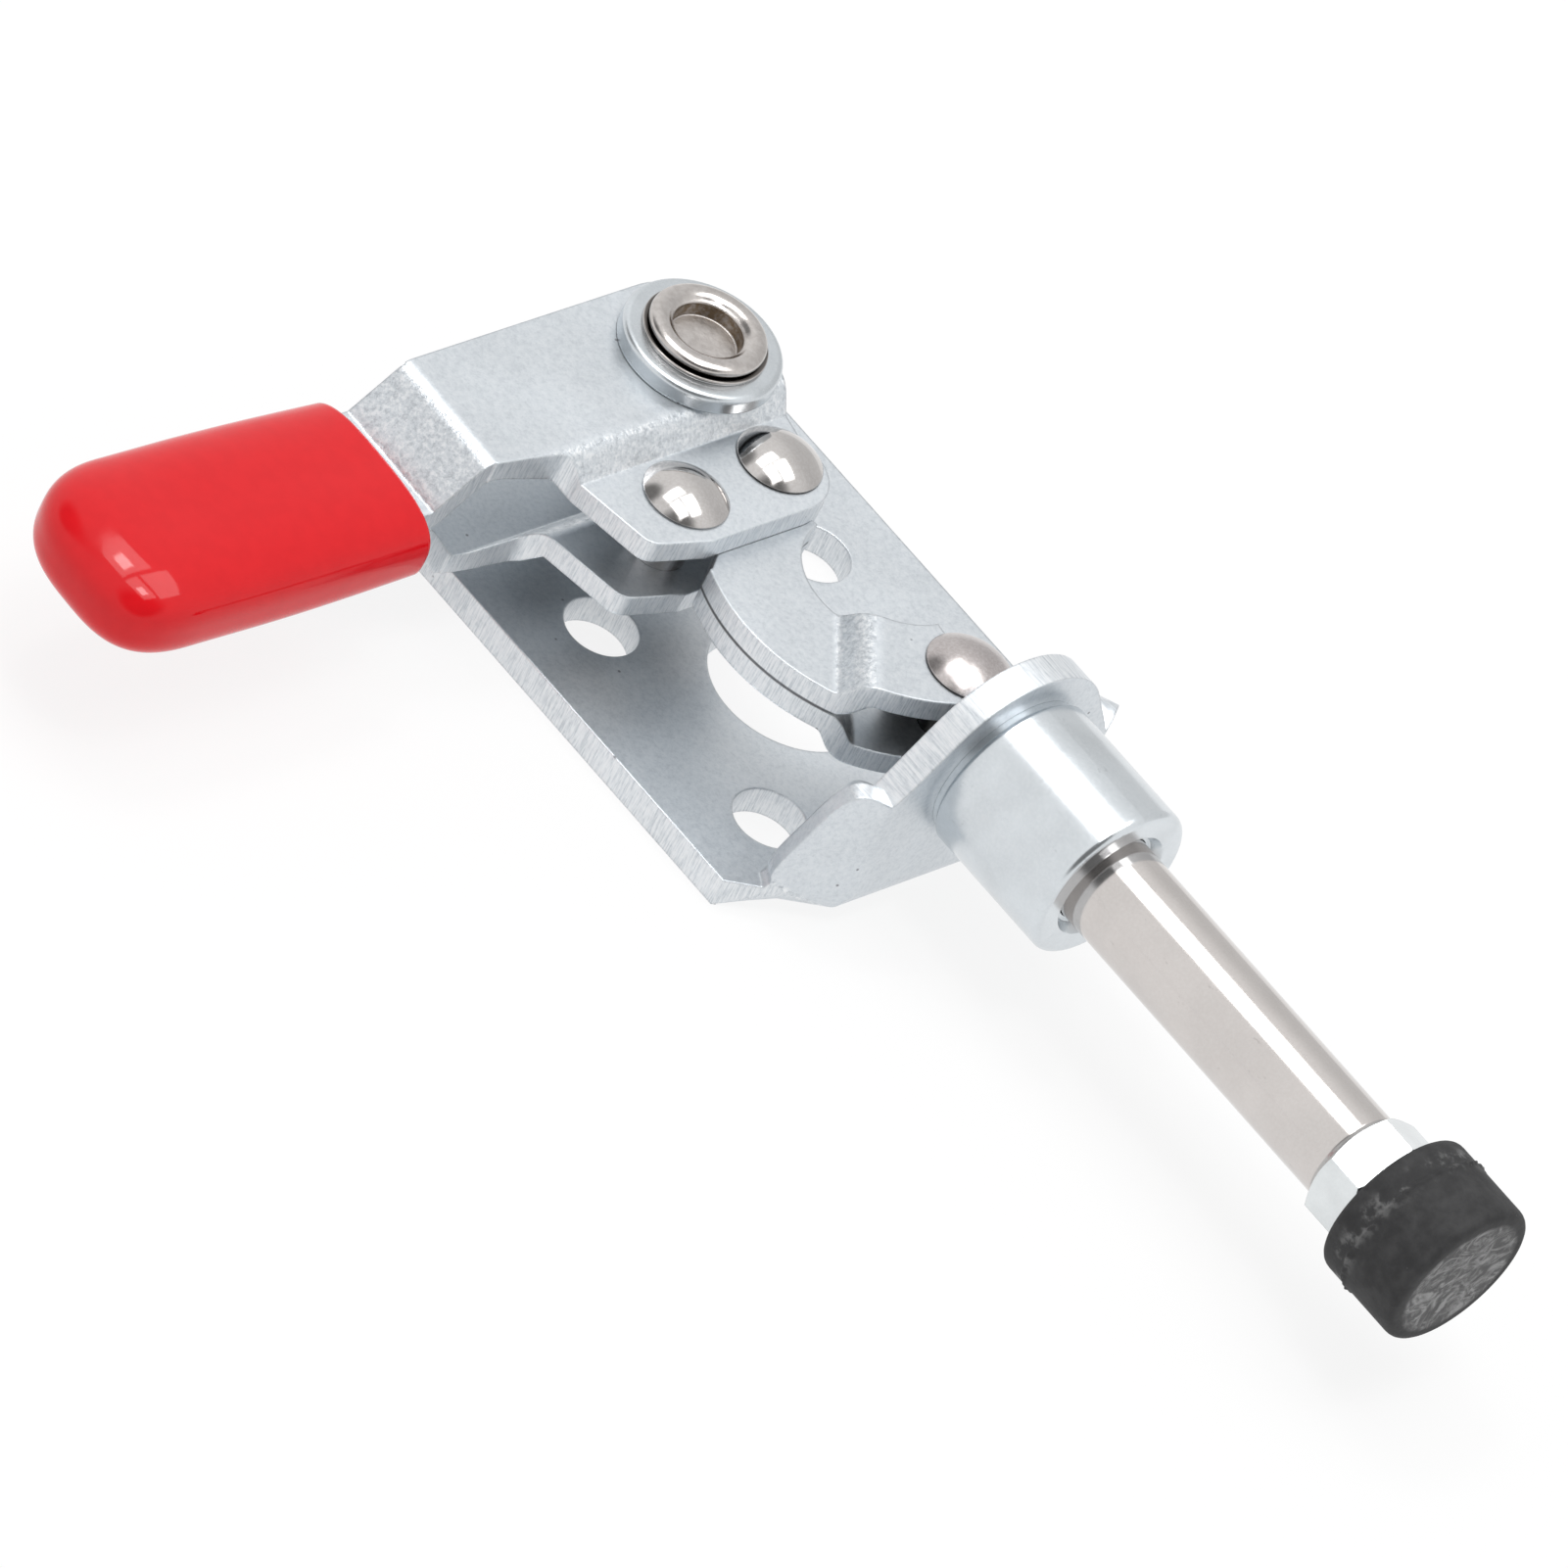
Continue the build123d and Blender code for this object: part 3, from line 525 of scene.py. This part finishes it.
def turned(profile, centre, axis, columns=144):
    """A profile of (radius, height) carried round an axis through centre: Z or X.

    A point is (r cos a, r sin a, h) about Z, and (h, r cos a, r sin a) about X.
    """
    angle = np.linspace(0, 2 * math.pi, columns, endpoint=False)
    radius, height = profile[:, :1], np.repeat(profile[:, 1:], columns, axis=1)
    across, along = radius * np.cos(angle), radius * np.sin(angle)
    order = (across, along, height) if axis == "Z" else (height, across, along)
    return np.stack(order, axis=-1) + np.array(centre, float)


print("rounded and turned are ready")

# %% [markdown]
# ## Dipped grip
# The grip is a soft vinyl sleeve, made by dipping the arm: nearly flat above and below, round at
# its sides, and drawn in to a blunt nose. Its cross section is a superellipse, whose corners
# are rounder than a rectangle's and squarer than an ellipse's. The same curve, turned into the
# length, shapes the nose. A fillet could round a box, but it would leave the nose too square.


# %% Grip
ARM_START = np.array((-17.295, -20.1, AXIS_HEIGHT))
ARM_TILT = math.radians(1.9)
ARM_OUT = np.array((-math.sin(ARM_TILT), -math.cos(ARM_TILT), 0.0))
ARM_SIDE = np.array((math.cos(ARM_TILT), -math.sin(ARM_TILT), 0.0))
UP = np.array((0.0, 0.0, 1.0))
GRIP_START, GRIP_LENGTH, NOSE_LENGTH = 4.8, 23.4, 6.2
LIP_WIDTH, LIP_DEPTH = 12.2, 5.7
SWELL_WIDTH, SWELL_DEPTH, SWELL_LENGTH = 0.6, 0.7, 13.0
SECTION_POWER, NOSE_POWER = 2.9, 2.4
LIP_SHIFT, SHIFT_LOSS, NOSE_LEAN, LEAN_START, LEAN_LENGTH = 0.3, 0.15 / 18.0, 0.75, 17.0, 6.4
POCKET_LENGTH, POCKET_WIDTH, POCKET_DEPTH = 19.72, 8.64, 3.04
# Rows of the pocket and of the rolled lip: reach, width, depth, shift and power.
POCKET = (
    (POCKET_LENGTH, 0.2, 0.2, 0.0, 14.0),
    (POCKET_LENGTH, POCKET_WIDTH, POCKET_DEPTH, 0.0, 14.0),
    (0.35, POCKET_WIDTH, POCKET_DEPTH, 0.0, 14.0),
    (0.05, 9.0, 3.4, 0.075, 14.0),
    (0.0, 9.4, 3.8, 0.15, 6.0),
    (0.0, 11.5, 5.1, 0.225, 3.4),
    (0.03, 11.9, 5.5, 0.3, 3.0),
)
SLEEVE_ROWS, NOSE_ROWS, FIRST_SLEEVE_ROW = 90, 60, 0.12


def oval(width, depth, power, angle):
    """x = w/2 |cos|^(2/n), z = d/2 |sin|^(2/n), each with its sign: a superellipse of power n."""
    cos, sin = np.cos(angle), np.sin(angle)
    x = width / 2 * np.sign(cos) * np.abs(cos) ** (2 / power)
    z = depth / 2 * np.sign(sin) * np.abs(sin) ** (2 / power)
    return x, z


def sleeve_rows():
    """Reach, width, depth, shift and power of each row outside the pocket.

    The sleeve swells as sin(pi/2 * reach / length) and then stays; along the nose, reach goes
    with sin^(2/m) and the section shrinks with cos^(2/n). The shift moves a row forwards.
    """
    turn = np.linspace(0, math.pi / 2, NOSE_ROWS)[1:-1]
    nose_start = GRIP_LENGTH - NOSE_LENGTH
    sleeve = np.linspace(FIRST_SLEEVE_ROW, nose_start, SLEEVE_ROWS)
    nose = nose_start + NOSE_LENGTH * np.sin(turn) ** (2 / NOSE_POWER)
    reach = np.concatenate((sleeve, nose))
    shrink = np.concatenate((np.ones_like(sleeve), np.cos(turn) ** (2 / SECTION_POWER)))
    swell = np.sin(np.clip(reach / SWELL_LENGTH, 0, 1) * math.pi / 2)
    width = (LIP_WIDTH + SWELL_WIDTH * swell) * shrink
    depth = (LIP_DEPTH + SWELL_DEPTH * swell) * shrink
    lean = NOSE_LEAN * np.clip((reach - LEAN_START) / LEAN_LENGTH, 0, 1) ** 2
    shift = LIP_SHIFT - SHIFT_LOSS * reach + lean
    return np.stack((reach, width, depth, shift, np.full_like(reach, SECTION_POWER)), axis=-1)


def grip_grid(columns=240):
    """Rows run from the pocket's end out over the lip, along the sleeve and round the nose.

    A point is start + (x + shift) side + reach out + z up, with x and z from the oval.
    """
    rows = np.concatenate((np.array(POCKET), sleeve_rows()))
    reach, width, depth, shift, power = np.hsplit(rows, 5)
    angle = np.linspace(0, 2 * math.pi, columns, endpoint=False)[None, :]
    x, z = oval(width, depth, power, angle)
    flat = (x + shift)[..., None] * ARM_SIDE + (reach + GRIP_START)[..., None] * ARM_OUT
    return ARM_START + flat + z[..., None] * UP


def grip_vinyl():
    """Glossy red vinyl: almost one colour, with faint waves left by the dip."""
    finish = Finish("grip_vinyl", Roughness=0.07, Specular_IOR_Level=0.33)
    waves = finish.noise(finish.at(), 0.16, 1.0)
    clouds = finish.noise(finish.at(), 0.9, 3.0)
    dust = 1 - finish.spots(finish.at(), 0.3).smooth(0.015, 0.03)
    body = finish.mix(clouds.smooth(0.3, 0.7), (0.68, 0.006, 0.011, 1), (0.65, 0.005, 0.01, 1))
    finish.feed(Base_Color=finish.mix(dust * 0.5, body, (0.85, 0.35, 0.33, 1)))
    finish.bump(waves + 0.01 * clouds, 0.08)
    return finish.material


skin("grip", grip_grid(), grip_vinyl(), "handle", "handle_grip")

# %% [markdown]
# ## Rolled rivet
# The big rivet is half hollow. Its top end was rolled outwards over the washer, which leaves a
# rounded ring with a groove below it and a deep mouth with a struck floor. It is one profile
# turned round the pivot, with every corner rounded by its own amount.

# %% Rolled rivet
PIVOT = (PIVOT_X, PIVOT_Y, 0.0)
NEAR_AXIS = 0.02
FOOT_RADIUS, FOOT_HEIGHT, SHANK_RADIUS = 4.2, 1.2, 2.7
GROOVE_RADIUS, GROOVE_BOTTOM, GROOVE_TOP, GROOVE_BLUR = 3.4, 16.7, 16.82, 0.06
MOUTH_RADIUS, MOUTH_FLOOR = 2.2, 16.1
# Radius, height and rounding: foot, shank, collar, groove, rolled ring and mouth.
RIVET_PROFILE = (
    (NEAR_AXIS, 0.0, 0),
    (FOOT_RADIUS, 0.0, 0.2),
    (FOOT_RADIUS, FOOT_HEIGHT, 0.1),
    (SHANK_RADIUS, FOOT_HEIGHT, 0.1),
    (SHANK_RADIUS, WASHER_TOP, 0.02),
    (3.96, WASHER_TOP, 0.1),
    (3.98, 16.68, 0.12),
    (GROOVE_RADIUS, GROOVE_BOTTOM, 0.04),
    (GROOVE_RADIUS, GROOVE_TOP, 0.04),
    (3.72, 16.84, 0.12),
    (3.74, 17.2, 0.2),
    (3.36, RING_TOP, 0.25),
    (2.74, RING_TOP, 0.26),
    (2.42, 17.2, 0.14),
    (2.22, 17.05, 0.1),
    (MOUTH_RADIUS, MOUTH_FLOOR, 0.12),
    (NEAR_AXIS, 16.02, 0),
)
CLEAN_NICKEL = (0.60, 0.57, 0.55, 1.0)
DULL_NICKEL = (0.50, 0.47, 0.45, 1.0)
MOUTH_STAIN = (0.24, 0.18, 0.12, 1.0)
GROOVE_SHADE = (0.05, 0.045, 0.04, 1.0)


def rolled_nickel():
    """Nickel that is clean on the ring, scuffed on the floor, stained brown on the wall and
    darkened with painted shade in the groove.
    """
    finish = Finish("rolled_nickel", Metallic=1.0)
    _, _, up = finish.axes(finish.normal)
    x, y, z = finish.axes(finish.at(centre=PIVOT))
    # The squared distance from the axis parts the mouth and the shank from the ring.
    middle = 1 - (x * x + y * y).smooth(5.2, 6.0)
    inside = middle * z.smooth(10.0, 11.0)
    wall = inside * (1 - abs(up).smooth(0.3, 0.6))
    grain = finish.noise(finish.at(), 2.2, 5.0, 0.7)
    fine = finish.noise(finish.at(), 7.0, 2.0, 0.6)
    above = z.smooth(GROOVE_BOTTOM - GROOVE_BLUR, GROOVE_BOTTOM)
    groove = above * (1 - z.smooth(GROOVE_TOP, GROOVE_TOP + GROOVE_BLUR)) * (1 - middle)
    body = finish.paint(
        finish.mix(grain.smooth(0.3, 0.7), DULL_NICKEL, CLEAN_NICKEL),
        (wall * grain.smooth(0.25, 0.6), MOUTH_STAIN),
        # Painted shade: the groove below the rolled ring is darkened.
        (groove, GROOVE_SHADE),
    )
    finish.feed(Base_Color=body, Roughness=0.12 + 0.2 * inside + 0.1 * grain)
    finish.bump(grain * (0.25 + inside) + 0.12 * fine, 0.02)
    return finish.material


skin(
    "rolled_rivet",
    turned(rounded(RIVET_PROFILE, spacing=0.4), PIVOT, "Z"),
    rolled_nickel(),
    "base",
    "pivot_rivet",
)

# %% [markdown]
# ## Rubber cap
# The cap is moulded rubber. Where the two halves of its mould met, a thin ragged rib runs round
# it, and its working face is scuffed grey. The rib is a bump in the turned profile whose height
# wanders round the cap; the scuffs belong to the material.

# %% Cap
CAP_RADIUS, CAP_COVER = 5.2, 1.6
SCREW_RADIUS, SCREW_HEAD_RADIUS, SCREW_HEAD_THICKNESS = 2.0, 3.6, 2.0
RIB_PLACE, RIB_HEIGHT, RIB_WIDTH = CAP_BACK + 2.2, 0.22, 0.13
HEAD_BACK = CAP_BACK + CAP_COVER
HEAD_FRONT = HEAD_BACK + SCREW_HEAD_THICKNESS
# Radius, place along the plunger and rounding: the pocket for the screw, then the outside.
CAP_PROFILE = (
    (NEAR_AXIS, HEAD_FRONT, 0),
    (SCREW_HEAD_RADIUS, HEAD_FRONT, 0.05),
    (SCREW_HEAD_RADIUS, HEAD_BACK, 0.05),
    (SCREW_RADIUS, HEAD_BACK, 0.05),
    (SCREW_RADIUS, CAP_BACK, 0.1),
    (CAP_RADIUS, CAP_BACK, 0.65),
    (CAP_RADIUS, CAP_FRONT, 0.7),
    (NEAR_AXIS, CAP_FRONT, 0),
)
RUBBER = (0.024, 0.024, 0.025, 1.0)
CLOUDED_RUBBER = (0.05, 0.05, 0.051, 1.0)


def cap_grid(columns=256):
    """The turned cap, pushed outwards near the rib by height * exp(-(distance / width)^2).

    Height and place wander round the cap as sums of sines with whole numbers of waves.
    """
    grid = turned(rounded(CAP_PROFILE, spacing=0.11), (0.0, 0.0, AXIS_HEIGHT), "X", columns)
    angle = np.linspace(0, 2 * math.pi, columns, endpoint=False)[None, :]
    ragged = 0.6 + 0.2 * np.sin(7 * angle + 1.0) * np.sin(19 * angle) + 0.2 * np.sin(43 * angle + 2)
    wander = 0.07 * np.sin(5 * angle + 0.5) + 0.04 * np.sin(17 * angle)
    near = np.exp(-(((grid[..., 0] - RIB_PLACE - wander) / RIB_WIDTH) ** 2))
    axis = np.array((0.0, AXIS_HEIGHT))
    side = grid[..., 1:] - axis
    radius = np.linalg.norm(side, axis=-1)
    outside = radius > CAP_RADIUS - 0.05
    grow = 1 + outside * RIB_HEIGHT * ragged * near / np.maximum(radius, 0.01)
    grid[..., 1:] = axis + side * grow[..., None]
    return grid


def cap_rubber():
    """Black rubber, dull and slightly uneven, with pale crossing scuffs on the working face."""
    finish = Finish("cap_rubber", Specular_IOR_Level=0.3)
    forward = finish.axes(finish.normal)[0]
    x, y, z = finish.axes(finish.at(centre=(0.0, 0.0, AXIS_HEIGHT)))
    face = forward.smooth(0.8, 0.95) * (1 - (y * y + z * z).smooth(15.0, 19.5))
    clouds = finish.noise(finish.at(), 0.8, 5.0, 0.6)
    fine = finish.noise(finish.at(), 4.0, 3.0, 0.6)
    one = finish.noise(finish.at(1.0, 0.45, 0.8), 0.75, 5.0, 0.6, 3.0)
    other = finish.noise(finish.at(1.0, 0.9, 0.5, centre=(5.0, 3.0, 9.0)), 0.9, 5.0, 0.6, 2.4)
    scuffs = one.smooth(0.42, 0.66).math("MAXIMUM", other.smooth(0.46, 0.7) * 0.8)
    dust = 1 - finish.spots(finish.at(), 0.8).smooth(0.02, 0.05)
    behind_rib = x.smooth(CAP_BACK + 0.75, CAP_BACK + 1.55)
    rub = behind_rib * (1 - x.smooth(RIB_PLACE - 0.45, RIB_PLACE + 0.75))
    rub = rub * clouds.smooth(0.5, 0.66)
    body = finish.paint(
        finish.mix(clouds.smooth(0.3, 0.75), RUBBER, CLOUDED_RUBBER),
        (face * (0.2 + 0.75 * scuffs), shade(WHITE, 0.3)),
        (rub * 0.7, shade(WHITE, 0.2)),
        (dust * 0.25, shade(WHITE, 0.25)),
    )
    finish.feed(Base_Color=body, Roughness=0.62 + 0.15 * clouds - 0.12 * face * scuffs)
    finish.bump(clouds * 0.5 + fine * 0.2 + face * scuffs * 0.5, 0.07)
    return finish.material


skin("cap", cap_grid(), cap_rubber(), "tip", "rubber_cap")

# %% [markdown]
# ## Floor
# The floor is white for the camera and for the metal that reflects it, and ordinary white paper
# for every other ray. A share of the paper stays in what the camera sees, so the clamp's soft
# shadow is kept.


# %% Floor
FLOOR_REACH = 3.0
SEEN_AS_WHITE = 0.85


def seen(graph):
    """1 for rays from the camera, from a reflection or through glass, and 0 for the others."""
    path = graph.node("ShaderNodeLightPath", {}).socket.node
    camera_ray, glossy_ray, clear_ray = (
        Value(graph, path.outputs[name])
        for name in ("Is Camera Ray", "Is Glossy Ray", "Is Transmission Ray")
    )
    return (camera_ray + glossy_ray + clear_ray).smooth(0.0, 1.0)


def add_floor():
    """A square of paper under the clamp, white to the eye and plain paper to the light."""
    mesh = bpy.data.meshes.new("floor")
    square = ((-1, -1), (1, -1), (1, 1), (-1, 1))
    corners = [(x * FLOOR_REACH, y * FLOOR_REACH, 0.0) for x, y in square]
    mesh.from_pydata(corners, [], [(0, 1, 2, 3)])
    floor = bpy.data.objects.new("floor", mesh)
    bpy.context.scene.collection.objects.link(floor)
    paper = Finish("paper", Roughness=0.9, Base_Color=shade(WHITE, 0.9))
    white = paper.node("ShaderNodeEmission", {}, {"Strength": 1.0})
    lit = Value(paper, paper.principled.outputs["BSDF"])
    blend = paper.node("ShaderNodeMixShader", {}, seen(paper) * SEEN_AS_WHITE, lit, white)
    paper.tree.links.new(blend.socket, paper.tree.nodes["Material Output"].inputs["Surface"])
    mesh.materials.append(paper.material)


add_floor()
print("floor:", 2 * FLOOR_REACH, "m wide")

# %% [markdown]
# ## Light
# A large box of light hangs over the clamp. It draws the long bright line on the rod and the
# windows on the rivets. The box is three panels with gaps between them, and two of the panels
# have a brighter core, which shows as a glint on the grip.


# %% Lamps
def add_lamp(name, place, target, size, power):
    """A rectangular area lamp at a place, aimed at a target."""
    data = bpy.data.lights.new(name, "AREA")
    data.shape = "RECTANGLE"
    data.size, data.size_y = size
    data.energy = power
    lamp = bpy.data.objects.new(name, data)
    lamp.location = place
    aim = Vector(target) - Vector(place)
    lamp.rotation_euler = aim.to_track_quat("-Z", "Y").to_euler()
    bpy.context.scene.collection.objects.link(lamp)


PANEL_HEIGHT = 0.70
# Left, right, front and rear edges in metres, drop below the box, and brightness.
PANELS = {
    "left": (-0.36, -0.15, -0.23, 0.20, 0.0, 2.7),
    "left_core": (-0.30, -0.20, -0.10, 0.06, 0.01, 9.0),
    "right_front": (-0.11, 0.28, -0.24, -0.02, 0.0, 2.7),
    "right_core": (0.02, 0.16, -0.18, -0.08, 0.01, 9.0),
    "right_back": (-0.11, 0.34, 0.02, 0.30, 0.0, 2.7),
}
for name, (left, right, front, rear, drop, brightness) in PANELS.items():
    width, depth = right - left, rear - front
    place = ((left + right) / 2, (front + rear) / 2, PANEL_HEIGHT - drop)
    power = math.pi * width * depth * brightness
    add_lamp(name, place, (place[0], place[1], 0.0), (width, depth), power)
    print(name, "panel", round(power, 2), "W")

# %% [markdown]
# The room itself is white to the camera and lights the clamp evenly with a part of that. Polished
# metal only shows what stands round it, so the room that it reflects is darker in three places:
# high at the left, high at the front and low along the back.

# %% Room
ROOM_LIGHT = 0.6
# Direction, degrees from it where the dark begins to fade and where it ends, and its strength.
DARK_PARTS = (
    ((-0.74, -0.30, 0.60), 8, 24, 0.75),
    ((0.55, -0.50, 0.67), 22, 42, 0.8),
    ((0.0, 1.0, 0.15), 20, 60, 0.25),
)

world = bpy.data.worlds.new("room")
bpy.context.scene.world = world
world.use_nodes = True
room = Graph(world.node_tree)
way = room.node("ShaderNodeTexCoord", {}, output="Generated")
dark = [share * room.towards(way, aim, fade, end) for aim, fade, end, share in DARK_PARTS]
reflected = room.node("ShaderNodeLightPath", {}, output="Is Glossy Ray")
strength = ROOM_LIGHT + seen(room) * (1 - ROOM_LIGHT) - reflected * sum(dark[1:], dark[0])
background = room.tree.nodes["Background"]
background.inputs["Color"].default_value = WHITE
room.tree.links.new(strength.socket, background.inputs["Strength"])

bpy.context.scene.view_settings.view_transform = "Standard"
print("room:", ROOM_LIGHT, "as light, 1 as background")
